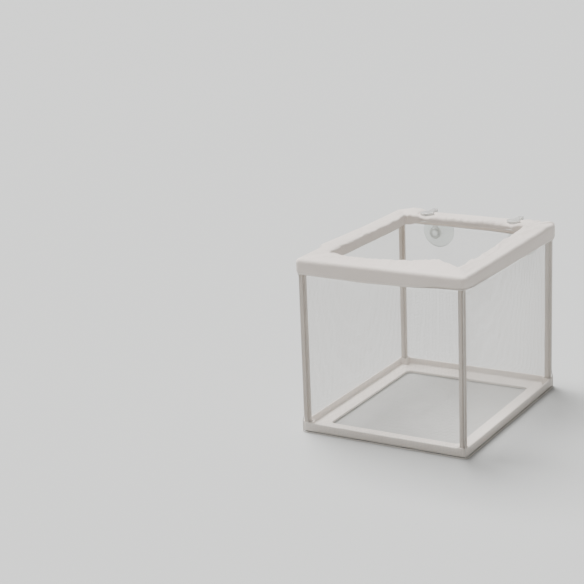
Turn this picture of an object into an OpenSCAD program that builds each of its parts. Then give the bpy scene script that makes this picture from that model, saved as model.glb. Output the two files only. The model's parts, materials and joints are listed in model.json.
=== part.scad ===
// Fish net breeding box: a knock-down plastic frame inside a fine net bag. The bag is
// pulled over the frame from below and its hem is folded over the upper moulding.
// Millimetres, +Z up. X runs along the short front rail, Y from front to back.
// The origin is on the standing surface, under the middle of the whole object.

/* [Box] */
// Width of the two moulded frames, along X
frame_w = 130; // [100:1:200]
// Depth of the two moulded frames, along Y
frame_d = 165; // [110:1:240]
// Height from the standing surface to the top of the upper moulding
frame_h = 129; // [90:1:200]

/* [Frame mouldings] */
// Wall thickness of both mouldings
wall = 1.6; // [1.2:0.1:2.4]
// Outer corner radius of both mouldings
corner_r = 3.5; // [2.5:0.5:6]
// Width of the lower moulding's side flanges, from its outer face
base_flange_w = 13.5; // [10:0.5:20]
// Height of the lower moulding's lip
base_lip_h = 6.4; // [5:0.2:12]
// Width of the upper moulding's side flanges, from its outer face
rim_flange_w = 12.5; // [11:0.5:16]
// Extra width of the front and back flanges of both mouldings
cross_extra = 4.5; // [0:0.5:8]
// Height of the upper moulding's lip
rim_lip_h = 6.4; // [5:0.2:12]
// Radius at the corners of both openings
opening_r = 4; // [3:0.5:10]
// Depth of the stiffening bead along the inner edge of the upper flange
bead_h = 2.6; // [1.5:0.1:4]
// Radius of the rounding along the outer edge of both mouldings
edge_r = 1; // [0.4:0.1:1.4]

/* [Posts] */
// Span of a post's cross-shaped section
post_span = 5; // [4:0.1:7]
// Thickness of a post's ribs
rib_t = 1.5; // [1:0.1:2.4]
// Wall of the sockets that take the posts
socket_wall = 0.9; // [0.7:0.1:1.6]
// Height of a socket over the face of its flange
socket_h = 5; // [4:0.2:12]
// Lead-in on the ends of a post
lead_in = 0.6; // [0.2:0.1:1]
// Running clearance of a post in its socket, on each side
post_fit = 0.08; // [0.05:0.01:0.15]

/* [Net and hem] */
// Thickness of the net panels
net_t = 0.6; // [0.4:0.1:1]
// Distance between the bars that stand for the mesh in the net's walls
net_cell = 12; // [10:1:16]
// Width of those bars
net_bar = 1.5; // [1:0.1:2.5]
// Thickness of the sewn seams
seam_d = 0.8; // [0.6:0.1:1.4]
// Thickness of the hem's cloth
hem_t = 0.7; // [0.5:0.1:1.2]
// Drop of the hem down the outside of the upper moulding
hem_drop = 9; // [8:0.5:16]
// Drop of the hem down the inside of the upper moulding
hem_inner_drop = 6.5; // [5:0.5:12]
// Thickness of the elastic in the hem's inner edge
elastic_d = 0.9; // [0.6:0.1:1.2]
// Radius where the hem turns over the outer edge
hem_edge_r = 2; // [1:0.1:2.2]
// Clearance of the cloth from what it lies on
cloth_gap = 0.3; // [0.2:0.05:0.5]
// Clearance between pieces that are sewn together
sewn_gap = 0.1; // [0.05:0.05:0.2]

/* [Suction cups] */
// Distance between the two suction cups
cup_pitch = 72; // [40:1:90]
// Diameter of a suction cup's rim
cup_d = 26; // [18:1:34]
// Depth of a suction cup's bell
cup_depth = 5.2; // [4:0.2:9]
// Thickness of a suction cup's bell
bell_t = 1.4; // [1:0.1:2]
// Diameter of a suction cup's neck
neck_d = 4.4; // [3.5:0.1:6]
// Diameter of a suction cup's knob
knob_d = 8; // [7:0.5:11]
// Length of a suction cup's knob
knob_l = 2; // [1.6:0.2:5]
// Distance of the cups' axes below the top of the upper moulding
cup_drop = 17; // [13:0.5:30]
// Diameter of a hanger's button
button_d = 10.4; // [8:0.2:13]
// Thickness of a button at its edge
button_t = 1.6; // [1:0.1:2.4]
// Height of the dome on a button
dome_h = 0.9; // [0.6:0.1:2]
// Width of a hanger's strap
strap_w = 4; // [3:0.2:6]
// Thickness of a hanger's strap and eye
strap_t = 1.3; // [1:0.1:2]
// Width of the ring round a hanger's eye
eye_wall = 2.5; // [1.5:0.1:4]
// Diameter of the pin under a hanger's button
pin_d = 3; // [2.4:0.1:4]
// Distance of the pin from the upper moulding's back face
pin_inset = 10.5; // [7:0.5:13]

/* [Hidden] */
$fn = 48;
eps = 0.01;

plastic = "Gainsboro";
post_plastic = "Silver";
cloth = "WhiteSmoke";
thread = "White";
clear = "LightCyan";

// The bag's floor passes under the lower moulding.
base_z = net_t + cloth_gap;

// Sockets and posts: each socket is an open square box in a corner of its moulding.
post_hole = post_span + 2 * post_fit;
socket_side = post_hole + 2 * socket_wall;
post_inset = socket_side / 2;
post_end_gap = 0.2;

// Overlaps that join the pieces of one moulding: the lip's section reaches almost to
// the centre of its corner, and the flange starts a little inside it.
corner_gap = 0.2;
lap = 0.3;
post_z0 = base_z + wall;
post_z1 = frame_h - wall - post_end_gap;

// Hem: over the upper moulding, with the elastic in a tunnel along its inner edge.
hem_out = cloth_gap + hem_t;
hem_z0 = frame_h - hem_drop;
hem_z1 = frame_h + hem_out;
hem_inset = rim_flange_w + cloth_gap;
skirt_z0 = frame_h - hem_inner_drop;
elastic_inset = hem_inset - sewn_gap - elastic_d / 2;
elastic_z = skirt_z0 + hem_t + sewn_gap + elastic_d / 2;
tunnel_inset = elastic_inset - elastic_d / 2 - sewn_gap - hem_t;
tunnel_h = hem_t + elastic_d + 2 * sewn_gap;

// Net bag: it hangs from a seam along the hem's outer edge, outside the posts and both
// mouldings, and its floor seam lies on the standing surface.
net_out = cloth_gap + net_t;
net_mid = cloth_gap + net_t / 2;
seam_out = net_mid + seam_d / 2;
floor_outset = net_mid - seam_d / 2 - sewn_gap;
foot_z = seam_d + sewn_gap;
head_seam_z = hem_z0 - sewn_gap - seam_d / 2;
head_z = head_seam_z - seam_d / 2 - sewn_gap;
mesh_cells_max = 12;

// Suction cups and their hangers. The knob stays clear of the hem behind the rail.
running_fit = 0.1;
eye_d = neck_d + 2 * running_fit;
eye_rim_d = eye_d + 2 * eye_wall;
pin_fit = 0.05;
pin_below = 2.2;
strap_z = hem_z1 + sewn_gap;
leg_y = max(hem_out, net_out) + cloth_gap + knob_l + running_fit;
eye_back = leg_y + strap_t;
neck_l = strap_t + 2 * running_fit;
knob_round = 0.8;
bell_root = 0.8;
rim_t = 0.6;
rim_land = 1;
cup_face = eye_back + running_fit + bell_root + cup_depth;
cup_z = frame_h - cup_drop;

// Placing: the cloth stands in front of the frames and the suction cups behind them.
y_front = -(frame_d + cup_face - max(hem_out, seam_out)) / 2;
y_mid = y_front + frame_d / 2;
y_back = y_front + frame_d;

// Rounded rectangle, centred.
module plate(w, d, r) {
    square([w - 2 * r, d], center = true);
    square([w, d - 2 * r], center = true);
    for (sx = [-1, 1], sy = [-1, 1])
        translate([sx * (w / 2 - r), sy * (d / 2 - r)]) circle(r);
}

// Band between two rounded rectangles, given as insets from the frame's outline. At the
// front and back the extras add to the insets.
module band(inset_out, r_out, inset_in, r_in, extra_out = 0, extra_in = 0) {
    difference() {
        plate(frame_w - 2 * inset_out, frame_d - 2 * (inset_out + extra_out), r_out);
        plate(frame_w - 2 * inset_in, frame_d - 2 * (inset_in + extra_in), r_in);
    }
}

// Carries a profile round a rounded rectangle. In the profile, x = 0 is the
// rectangle's outline, x < 0 is inside it and y is height.
module sweep_round(w, d, r) {
    for (side = [0, 1]) mirror([side, 0, 0]) {
        translate([w / 2, d / 2 - r, 0]) rotate([90, 0, 0]) linear_extrude(d - 2 * r) children();
    }
    for (side = [0, 1]) mirror([0, side, 0]) {
        translate([-w / 2 + r, d / 2, 0]) rotate([90, 0, 90]) linear_extrude(w - 2 * r) children();
    }
    for (sx = [0, 1], sy = [0, 1]) mirror([sx, 0, 0]) mirror([0, sy, 0]) {
        translate([w / 2 - r, d / 2 - r, 0]) rotate_extrude(angle = 90) translate([r, 0]) children();
    }
}

// Section of a moulding's lip: rounded outside, with a cove down to the flange.
module lip_section(lip_h) {
    cove_r = corner_r - wall - corner_gap;
    difference() {
        translate([-wall - cove_r, 0]) square([wall + cove_r, lip_h]);
        translate([-wall - cove_r, wall + cove_r]) circle(cove_r);
        translate([-wall - cove_r - eps, wall + cove_r])
            square([cove_r + eps, lip_h - wall - cove_r + eps]);
        translate([-edge_r, 0]) difference() {
            translate([0, -eps]) square([edge_r + eps, edge_r + eps]);
            translate([0, edge_r]) circle(edge_r);
        }
        translate([-wall / 2, lip_h - wall / 2]) difference() {
            translate([-wall / 2 - eps, 0]) square([wall + 2 * eps, wall / 2 + eps]);
            circle(wall / 2);
        }
    }
}

// One moulded frame with its flange down and its lip and sockets up.
module moulding(flange_w, lip_h, bead) {
    difference() {
        union() {
            linear_extrude(wall)
                band(corner_r - lap, lap, flange_w, opening_r, 0, cross_extra);
            sweep_round(frame_w, frame_d, corner_r) lip_section(lip_h);
            linear_extrude(bead)
                band(flange_w - wall, opening_r + wall, flange_w, opening_r,
                    cross_extra, cross_extra);
            for (sx = [-1, 1], sy = [-1, 1])
                translate([sx * (frame_w / 2 - post_inset), sy * (frame_d / 2 - post_inset), 0])
                    socket_body(sx, sy);
        }
        for (sx = [-1, 1], sy = [-1, 1])
            translate([sx * (frame_w / 2 - post_inset), sy * (frame_d / 2 - post_inset), wall])
                linear_extrude(lip_h + socket_h) square(post_hole, center = true);
    }
}

// Walls of one socket. The corner that faces outwards keeps the moulding's radius.
module socket_body(sx, sy) {
    translate([0, 0, edge_r]) linear_extrude(wall + socket_h - edge_r) difference() {
        square(socket_side, center = true);
        translate([sx * (socket_side / 2 - corner_r), sy * (socket_side / 2 - corner_r)])
            difference() {
                translate([sx * corner_r / 2, sy * corner_r / 2])
                    square(corner_r + eps, center = true);
                circle(corner_r);
            }
    }
}

module bottom_frame() {
    color(plastic) translate([0, y_mid, base_z]) moulding(base_flange_w, base_lip_h, wall);
}

module top_frame() {
    color(plastic) difference() {
        translate([0, y_mid, frame_h]) mirror([0, 0, 1]) moulding(rim_flange_w, rim_lip_h, bead_h);
        for (side = [-1, 1])
            translate([side * cup_pitch / 2, y_back - pin_inset, frame_h - 2 * wall])
                cylinder(h = 3 * wall, d = pin_d + 2 * pin_fit);
    }
}

// A post: a cross-shaped bar whose ends are turned down for an easy start in the socket.
module post(sx, sy) {
    tip_r = post_span / 2;
    h = post_z1 - post_z0;
    color(post_plastic)
        translate([sx * (frame_w / 2 - post_inset), y_mid + sy * (frame_d / 2 - post_inset), post_z0])
            intersection() {
                linear_extrude(h) {
                    square([post_span, rib_t], center = true);
                    square([rib_t, post_span], center = true);
                }
                rotate_extrude() polygon([
                    [0, 0], [tip_r - lead_in, 0], [tip_r + rib_t, lead_in + rib_t],
                    [tip_r + rib_t, h - lead_in - rib_t], [tip_r - lead_in, h], [0, h]]);
            }
}

// The hem: one band of cloth folded over the upper moulding, with a tunnel at its inner edge.
module hem_band() {
    color(cloth) difference() {
        translate([0, y_mid, 0]) {
            translate([0, 0, hem_z0])
                linear_extrude(hem_z1 - hem_edge_r - hem_z0)
                    band(-hem_out, corner_r + hem_out, -cloth_gap, corner_r + cloth_gap);
            translate([0, 0, frame_h])
                sweep_round(frame_w + 2 * hem_out, frame_d + 2 * hem_out, corner_r + hem_out)
                    hem_shoulder();
            translate([0, 0, frame_h + cloth_gap])
                linear_extrude(hem_t)
                    band(lap, corner_r - lap, hem_inset, opening_r, 0, cross_extra);
            translate([0, 0, skirt_z0])
                linear_extrude(hem_z1 - skirt_z0)
                    band(hem_inset, opening_r, hem_inset + hem_t, opening_r,
                        cross_extra, cross_extra);
            translate([0, 0, skirt_z0])
                linear_extrude(hem_t)
                    band(tunnel_inset, opening_r, hem_inset + hem_t, opening_r,
                        cross_extra, cross_extra);
            translate([0, 0, skirt_z0])
                linear_extrude(tunnel_h)
                    band(tunnel_inset, opening_r, tunnel_inset + hem_t, opening_r,
                        cross_extra, cross_extra);
        }
        for (side = [-1, 1])
            translate([side * cup_pitch / 2, y_back - pin_inset, frame_h])
                cylinder(h = 2 * hem_out, d = pin_d + 2 * cloth_gap);
    }
}

// Section where the hem turns from the outer face to the top face.
module hem_shoulder() {
    difference() {
        translate([-hem_edge_r, hem_out - hem_edge_r]) circle(hem_edge_r);
        translate([-hem_edge_r, hem_out - hem_edge_r]) circle(hem_edge_r - hem_t);
        translate([-2 * hem_edge_r - eps, hem_out - 2 * hem_edge_r - eps])
            square([hem_edge_r + eps, 2 * hem_edge_r + 2 * eps]);
        translate([-hem_edge_r - eps, hem_out - 2 * hem_edge_r - eps])
            square([hem_edge_r + 2 * eps, hem_edge_r + eps]);
    }
}

// Elastic cord in the tunnel, which draws the hem's inner edge in under the rail.
module hem_elastic() {
    color(thread) translate([0, y_mid, elastic_z])
        sweep_round(frame_w - 2 * elastic_inset,
            frame_d - 2 * (elastic_inset + cross_extra), opening_r) circle(d = elastic_d);
}

// Centre of the seam at the corner (sx, sy), at the middle of the corner's arc.
function seam_at(sx, sy) = [
    sx * (frame_w / 2 - corner_r + (corner_r + net_mid) * cos(45)),
    sy * (frame_d / 2 - corner_r + (corner_r + net_mid) * sin(45))];

// Grid of openings that stands for the mesh in a wall w wide and h high.
module mesh_openings(w, h) {
    across = min(mesh_cells_max, floor(w / net_cell));
    up = min(mesh_cells_max, floor(h / net_cell));
    for (i = [0:across - 1], j = [0:up - 1])
        translate([(i + 0.5) * w / across - w / 2, (j + 0.5) * h / up])
            square([w / across - net_bar, h / up - net_bar], center = true);
}

// A wall of the net bag, cut from the ring round the frames: it runs from the middle of
// one corner's arc to the middle of the next. The wall faces -Y in a ring w by d.
module net_wall(w, d) {
    half_w = w / 2 - corner_r;
    half_d = d / 2 - corner_r;
    reach = corner_r + 2 * net_out;
    color(cloth) translate([0, 0, foot_z]) difference() {
        linear_extrude(head_z - foot_z) difference() {
            intersection() {
                difference() {
                    plate(w + 2 * net_out, d + 2 * net_out, corner_r + net_out);
                    plate(w + 2 * cloth_gap, d + 2 * cloth_gap, corner_r + cloth_gap);
                }
                polygon([[-half_w, -half_d], [-half_w - reach, -half_d - reach],
                    [half_w + reach, -half_d - reach], [half_w, -half_d]]);
            }
            for (sx = [-1, 1])
                translate([sx * (half_w + (corner_r + net_mid) * cos(45)),
                    -half_d - (corner_r + net_mid) * sin(45)])
                    circle(d = seam_d + 2 * sewn_gap);
        }
        translate([0, -d / 2, 0]) rotate([90, 0, 0]) linear_extrude(2 * net_out)
            mesh_openings(2 * half_w, head_z - foot_z);
    }
}

module net_front() {
    translate([0, y_mid, 0]) net_wall(frame_w, frame_d);
}

module net_back() {
    translate([0, y_mid, 0]) rotate([0, 0, 180]) net_wall(frame_w, frame_d);
}

module net_left() {
    translate([0, y_mid, 0]) rotate([0, 0, -90]) net_wall(frame_d, frame_w);
}

module net_right() {
    translate([0, y_mid, 0]) rotate([0, 0, 90]) net_wall(frame_d, frame_w);
}

module net_floor() {
    color(cloth) translate([0, y_mid, 0]) linear_extrude(net_t)
        plate(frame_w + 2 * floor_outset, frame_d + 2 * floor_outset, corner_r + floor_outset);
}

// Seam along one corner of the bag, from the floor seam up to the head seam.
module corner_seam(sx, sy) {
    at = seam_at(sx, sy);
    color(thread) translate([at[0], y_mid + at[1], foot_z])
        cylinder(h = head_z - foot_z, d = seam_d);
}

// Seam round the whole bag, with its middle at height z.
module ring_seam(z) {
    color(thread) translate([0, y_mid, z])
        sweep_round(frame_w + 2 * net_mid, frame_d + 2 * net_mid, corner_r + net_mid)
            circle(d = seam_d);
}

// A hanger: a button and pin on the rail, and a strap that drops behind it to an eye.
module hanger(side) {
    color(clear) translate([side * cup_pitch / 2, y_back, 0]) {
        translate([0, -pin_inset, strap_z]) button();
        translate([0, -pin_inset, frame_h - wall - pin_below])
            cylinder(h = wall + pin_below + strap_z - frame_h + eps, d = pin_d);
        translate([-strap_w / 2, -pin_inset, strap_z])
            cube([strap_w, pin_inset + eye_back, strap_t]);
        translate([0, eye_back, 0]) rotate([90, 0, 0]) linear_extrude(strap_t) hanger_leg();
    }
}

// A flat button with a low dome on top.
module button() {
    dome_r = (pow(button_d / 2, 2) + pow(dome_h, 2)) / (2 * dome_h);
    rotate_extrude() intersection() {
        translate([0, button_t + dome_h - dome_r]) circle(dome_r, $fn = 120);
        square([button_d / 2, button_t + dome_h]);
    }
}

// Outline of the strap's drop and eye, seen from the front.
module hanger_leg() {
    difference() {
        union() {
            translate([-strap_w / 2, cup_z]) square([strap_w, strap_z + strap_t - cup_z]);
            translate([0, cup_z]) circle(d = eye_rim_d);
        }
        translate([0, cup_z]) circle(d = eye_d);
    }
}

// A suction cup: knob in front of the eye, neck through it and bell behind it.
module suction_cup(side) {
    color(clear) translate([side * cup_pitch / 2, y_back + leg_y - running_fit, cup_z])
        rotate([-90, 0, 0]) rotate_extrude() cup_section();
}

// Half section of a suction cup; y runs from the eye's front face back to the glass.
module cup_section() {
    rim_y = neck_l + bell_root + cup_depth;
    inner_y = neck_l + bell_root + bell_t;
    knob_r = knob_d / 2;
    difference() {
        union() {
            translate([0, -knob_l]) square([knob_r - knob_round, knob_l]);
            translate([0, knob_round - knob_l]) square([knob_r, knob_l - knob_round]);
            translate([knob_r - knob_round, knob_round - knob_l]) circle(knob_round);
            translate([0, -eps]) square([neck_d / 2, neck_l + 2 * eps]);
            polygon([[0, neck_l], [knob_r - rim_t, neck_l], [knob_r + bell_t, inner_y - bell_root],
                [cup_d / 2, rim_y - rim_t], [cup_d / 2, rim_y], [0, rim_y]]);
        }
        polygon([[-eps, inner_y], [knob_r, inner_y + rim_t],
            [cup_d / 2 - rim_land, rim_y + eps], [-eps, rim_y + eps]]);
    }
}

bottom_frame();
post(-1, -1);  // post_front_left
post(1, -1);  // post_front_right
post(-1, 1);  // post_back_left
post(1, 1);  // post_back_right
top_frame();
hem_band();
hem_elastic();
net_front();
net_back();
net_left();
net_right();
net_floor();
corner_seam(-1, -1);  // seam_front_left
corner_seam(1, -1);  // seam_front_right
corner_seam(-1, 1);  // seam_back_left
corner_seam(1, 1);  // seam_back_right
ring_seam(head_seam_z);  // seam_head
ring_seam(seam_d / 2);  // seam_floor
hanger(-1);  // hanger_left
hanger(1);  // hanger_right
suction_cup(-1);  // suction_cup_left
suction_cup(1);  // suction_cup_right
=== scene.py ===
"""Looks of a fish net breeding box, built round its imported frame.

The box is a knock-down plastic frame inside a bag of fine net. The bag's cloth hem is folded
over the upper rail, and two clear hangers on the back rail carry suction cups. Lengths are in
metres and in the frame's own axes: +Z up, X along the short rails, Y from front to back.
"""

import json
import logging
import math
from collections.abc import Callable
from dataclasses import dataclass, field
from enum import Enum

import bmesh
import bpy
from mathutils import Matrix, Vector, noise

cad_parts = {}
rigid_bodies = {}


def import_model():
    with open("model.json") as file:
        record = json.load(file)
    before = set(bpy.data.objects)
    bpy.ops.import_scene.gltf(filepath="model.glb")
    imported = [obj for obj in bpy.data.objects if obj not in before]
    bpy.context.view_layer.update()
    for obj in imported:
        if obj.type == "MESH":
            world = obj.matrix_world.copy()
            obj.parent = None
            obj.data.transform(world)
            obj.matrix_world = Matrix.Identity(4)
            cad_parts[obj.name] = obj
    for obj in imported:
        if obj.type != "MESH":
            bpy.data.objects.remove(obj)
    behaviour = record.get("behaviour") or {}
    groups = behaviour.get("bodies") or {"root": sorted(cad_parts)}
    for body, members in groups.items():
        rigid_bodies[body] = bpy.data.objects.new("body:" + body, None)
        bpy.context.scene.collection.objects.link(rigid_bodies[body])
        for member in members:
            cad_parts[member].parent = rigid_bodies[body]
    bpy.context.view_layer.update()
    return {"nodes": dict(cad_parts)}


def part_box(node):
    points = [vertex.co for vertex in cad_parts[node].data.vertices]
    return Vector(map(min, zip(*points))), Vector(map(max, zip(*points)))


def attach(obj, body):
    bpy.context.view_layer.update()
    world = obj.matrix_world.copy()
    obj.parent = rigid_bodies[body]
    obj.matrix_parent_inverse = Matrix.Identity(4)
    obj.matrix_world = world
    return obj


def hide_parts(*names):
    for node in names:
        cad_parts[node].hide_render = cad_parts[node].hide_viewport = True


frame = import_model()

MM = 0.001
log = logging.getLogger("breeding_box")


class Side(Enum):
    """A side of the box, numbered by quarter turns from the front."""

    FRONT = 0
    RIGHT = 1
    BACK = 2
    LEFT = 3


class Edge(Enum):
    """The edge of the hem that a line describes."""

    INNER = "inner"
    OUTER = "outer"
    LOWER = "lower"


def srgb(code: str) -> tuple[float, float, float, float]:
    """Turns an sRGB hex value into linear RGBA.

    Args:
        code: the value, such as "#E4E0DB".

    Returns:
        The linear colour with an alpha of 1.
    """
    parts = [int(code[i:i + 2], 16) / 255 for i in (1, 3, 5)]
    linear = [c / 12.92 if c <= 0.04045 else ((c + 0.055) / 1.055) ** 2.4 for c in parts]
    return (linear[0], linear[1], linear[2], 1.0)


def smooth(value: float) -> float:
    """Smooth step from 0 to 1 over 0..1."""
    t = min(1.0, max(0.0, value))
    return t * t * (3 - 2 * t)


def ripple(x: float, y: float, layer: float, length: float) -> float:
    """Smooth noise, about -1 to 1, of a place in plan.

    Args:
        x: place along X.
        y: place along Y.
        layer: picks one of many unlike patterns.
        length: distance over which the noise changes.

    Returns:
        The noise at that place.
    """
    return noise.noise(Vector((x / length, y / length, layer)))


def add_node(tree: bpy.types.NodeTree, kind: str, inputs: dict | None = None,
             **settings: object) -> bpy.types.Node:
    """Adds a node with its settings and links.

    Args:
        tree: the tree that takes the node.
        kind: the node's type name.
        inputs: a value or an output socket for each input, by name or number.
        settings: properties to set on the node.

    Returns:
        The new node.
    """
    node = tree.nodes.new(kind)
    for name, value in settings.items():
        setattr(node, name, value)
    for key, value in (inputs or {}).items():
        if isinstance(value, bpy.types.NodeSocket):
            tree.links.new(value, node.inputs[key])
        else:
            node.inputs[key].default_value = value
    return node


def new_mesh(name: str, points: list, edges: list, faces: list) -> bpy.types.Mesh:
    """Makes a mesh from plain lists of points, edges and faces.

    Args:
        name: the mesh's name.
        points: the places of its points.
        edges: pairs of point numbers.
        faces: point numbers round each face.

    Returns:
        The mesh.
    """
    mesh = bpy.data.meshes.new(name)
    mesh.from_pydata([tuple(p) for p in points], edges, faces)
    mesh.update()
    return mesh


def new_object(name: str, mesh: bpy.types.ID) -> bpy.types.Object:
    """Puts a mesh or curve in the scene as an object at the origin.

    Args:
        name: the object's name.
        mesh: what the object holds.

    Returns:
        The object.
    """
    piece = bpy.data.objects.new(name, mesh)
    bpy.context.scene.collection.objects.link(piece)
    return piece


def path_mesh(name: str, points: list[Vector], closed: bool) -> bpy.types.Mesh:
    """Makes a mesh of one line of edges through the points.

    Args:
        name: the mesh's name.
        points: the line's points, in order.
        closed: whether the last point joins the first.

    Returns:
        The mesh.
    """
    count = len(points)
    edges = [(i, (i + 1) % count) for i in range(count if closed else count - 1)]
    return new_mesh(name, points, edges, [])


# ---------------------------------------------------------------------------------------
# Finishes


@dataclass(frozen=True)
class Finish:
    """What every finish starts from: a colour that varies a little over the piece."""

    name: str
    colour: str
    shade: str
    roughness: float
    ior: float
    blotch: float = 18 * MM

    def start(self) -> tuple[bpy.types.Material, bpy.types.NodeTree, bpy.types.Node]:
        """Makes the material with its shader and its varying colour.

        Returns:
            The material, its node tree and its shader.
        """
        material = bpy.data.materials.new(self.name)
        material.use_nodes = True
        tree = material.node_tree
        shader = tree.nodes["Principled BSDF"]
        shader.inputs["Roughness"].default_value = self.roughness
        shader.inputs["IOR"].default_value = self.ior
        place = add_node(tree, "ShaderNodeTexCoord")
        cloud = add_node(tree, "ShaderNodeTexNoise", {
            "Vector": place.outputs["Object"], "Scale": 1 / self.blotch, "Detail": 4.0})
        tint = add_node(tree, "ShaderNodeMix", {
            0: cloud.outputs[0], 6: srgb(self.colour), 7: srgb(self.shade)}, data_type="RGBA")
        tree.links.new(tint.outputs[2], shader.inputs["Base Color"])
        return material, tree, shader

    def grain(self, tree: bpy.types.NodeTree, size: float) -> bpy.types.NodeSocket:
        """Fine noise of the given grain size, on the piece's own coordinates.

        Args:
            tree: the material's node tree.
            size: the grain size, in metres.

        Returns:
            The noise, from 0 to 1.
        """
        place = add_node(tree, "ShaderNodeTexCoord")
        fine = add_node(tree, "ShaderNodeTexNoise", {
            "Vector": place.outputs["Object"], "Scale": 1 / size, "Detail": 3.0})
        return fine.outputs[0]

    def emboss(self, tree: bpy.types.NodeTree, shader: bpy.types.Node,
               height: bpy.types.NodeSocket, depth: float, strength: float) -> None:
        """Gives the shader a bump from a height pattern.

        Args:
            tree: the material's node tree.
            shader: the shader that gets the bump.
            height: the pattern.
            depth: how deep the pattern is, in metres.
            strength: how much of it shows, from 0 to 1.
        """
        bump = add_node(tree, "ShaderNodeBump", {
            "Height": height, "Distance": depth, "Strength": strength})
        tree.links.new(bump.outputs[0], shader.inputs["Normal"])


@dataclass(frozen=True)
class MouldedPlastic(Finish):
    """Injection-moulded polystyrene: satin, with a fine spark-eroded texture from the mould."""

    texture: float = 0.35 * MM
    depth: float = 0.03 * MM
    strength: float = 0.35
    rough_spread: float = 0.07
    glow: float = 0.06
    glow_reach: tuple[float, float, float] = (1.2 * MM, 1.1 * MM, 1.0 * MM)

    def make(self) -> bpy.types.Material:
        """Builds the material.

        Returns:
            The material.
        """
        material, tree, shader = self.start()
        grain = self.grain(tree, self.texture)
        spread = add_node(tree, "ShaderNodeMapRange", {
            "Value": grain,
            "To Min": self.roughness - self.rough_spread,
            "To Max": self.roughness + self.rough_spread})
        tree.links.new(spread.outputs[0], shader.inputs["Roughness"])
        self.emboss(tree, shader, grain, self.depth, self.strength)
        shader.inputs["Subsurface Weight"].default_value = self.glow
        shader.inputs["Subsurface Radius"].default_value = self.glow_reach
        shader.inputs["Subsurface Scale"].default_value = 1.0
        return material


@dataclass(frozen=True)
class WovenPolyester(Finish):
    """Close plain weave of white polyester: matt, with a soft sheen at its edges.

    The real threads are about 0.25 mm apart; the weave is drawn at 0.6 mm so that it shows.
    """

    spacing: float = 0.6 * MM
    depth: float = 0.2 * MM
    strength: float = 0.9
    sheen: float = 0.35
    sheen_roughness: float = 0.45
    unevenness: float = 0.6

    def make(self) -> bpy.types.Material:
        """Builds the material on the cloth's own UV map.

        Returns:
            The material.
        """
        material, tree, shader = self.start()
        shader.inputs["Sheen Weight"].default_value = self.sheen
        shader.inputs["Sheen Roughness"].default_value = self.sheen_roughness
        flat = add_node(tree, "ShaderNodeUVMap", uv_map=CLOTH_UV)
        wave_scale = math.pi / 10 / self.spacing
        threads = [add_node(tree, "ShaderNodeTexWave", {
            "Vector": flat.outputs[0], "Scale": wave_scale, "Distortion": self.unevenness,
            "Detail": 1.0}, wave_type="BANDS", bands_direction=axis) for axis in ("X", "Y")]
        weave = add_node(tree, "ShaderNodeMath", {
            0: threads[0].outputs["Fac"], 1: threads[1].outputs["Fac"]}, operation="MULTIPLY")
        self.emboss(tree, shader, weave.outputs[0], self.depth, self.strength)
        return material


@dataclass(frozen=True)
class NylonNet(Finish):
    """Fine nylon thread, drawn and set: half clear, so a single layer is only a light veil."""

    alpha: float = 0.6
    sheen: float = 0.15

    def make(self) -> bpy.types.Material:
        """Builds the material.

        Returns:
            The material.
        """
        material, _, shader = self.start()
        shader.inputs["Alpha"].default_value = self.alpha
        shader.inputs["Sheen Weight"].default_value = self.sheen
        return material


@dataclass(frozen=True)
class SewingThread(Finish):
    """Spun polyester thread: matt, with its twist as a fine rope-like bump."""

    twist: float = 0.5 * MM
    depth: float = 0.06 * MM
    strength: float = 0.5
    sheen: float = 0.3

    def make(self) -> bpy.types.Material:
        """Builds the material.

        Returns:
            The material.
        """
        material, tree, shader = self.start()
        self.emboss(tree, shader, self.grain(tree, self.twist), self.depth, self.strength)
        shader.inputs["Sheen Weight"].default_value = self.sheen
        return material


@dataclass(frozen=True)
class ClearMoulding(Finish):
    """Clear moulded plastic or soft PVC: light passes, with faint flow waves in the surface."""

    clearness: float = 0.85
    wave: float = 3 * MM
    depth: float = 0.05 * MM
    strength: float = 0.3

    def make(self) -> bpy.types.Material:
        """Builds the material.

        Returns:
            The material.
        """
        material, tree, shader = self.start()
        shader.inputs["Transmission Weight"].default_value = self.clearness
        self.emboss(tree, shader, self.grain(tree, self.wave), self.depth, self.strength)
        return material


@dataclass(frozen=True)
class BraidedElastic(Finish):
    """Rubber core in a white braid: matt, with the braid as a close bump."""

    braid: float = 0.4 * MM
    depth: float = 0.08 * MM
    strength: float = 0.6

    def make(self) -> bpy.types.Material:
        """Builds the material.

        Returns:
            The material.
        """
        material, tree, shader = self.start()
        self.emboss(tree, shader, self.grain(tree, self.braid), self.depth, self.strength)
        return material


@dataclass(frozen=True)
class PaintedFloor(Finish):
    """Plain matt paint for the studio floor."""

    def make(self) -> bpy.types.Material:
        """Builds the material."""
        return self.start()[0]


CLOTH_UV = "cloth"
FRAME_PLASTIC = MouldedPlastic("white_polystyrene", "#EBE3DB", "#E2D9D0", 0.42, 1.59)
POST_PLASTIC = MouldedPlastic("grey_polystyrene", "#C6BCB2", "#BBB0A5", 0.42, 1.59)
HEM_CLOTH = WovenPolyester("woven_polyester", "#EBE1D9", "#E2D7CD", 0.85, 1.5)
NET_NYLON = NylonNet("nylon_net", "#F4F3F0", "#EDEBE6", 0.4, 1.53)
THREAD = SewingThread("polyester_thread", "#DBD7D1", "#D0CBC4", 0.75, 1.5, blotch=6 * MM)
ELASTIC = BraidedElastic("braided_elastic", "#E9E6E1", "#DDD9D3", 0.8, 1.5, blotch=4 * MM)
HANGER_PLASTIC = ClearMoulding("clear_polystyrene", "#F4F4F1", "#EEEEEA", 0.22, 1.59,
                               clearness=0.6)
CUP_PVC = ClearMoulding("clear_soft_pvc", "#EDF2F0", "#E4EBE9", 0.2, 1.53, clearness=0.8)
FLOOR_PAINT = PaintedFloor("matt_floor_paint", "#B3B4B3", "#B0B1B0", 0.9, 1.5, blotch=900 * MM)


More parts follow.
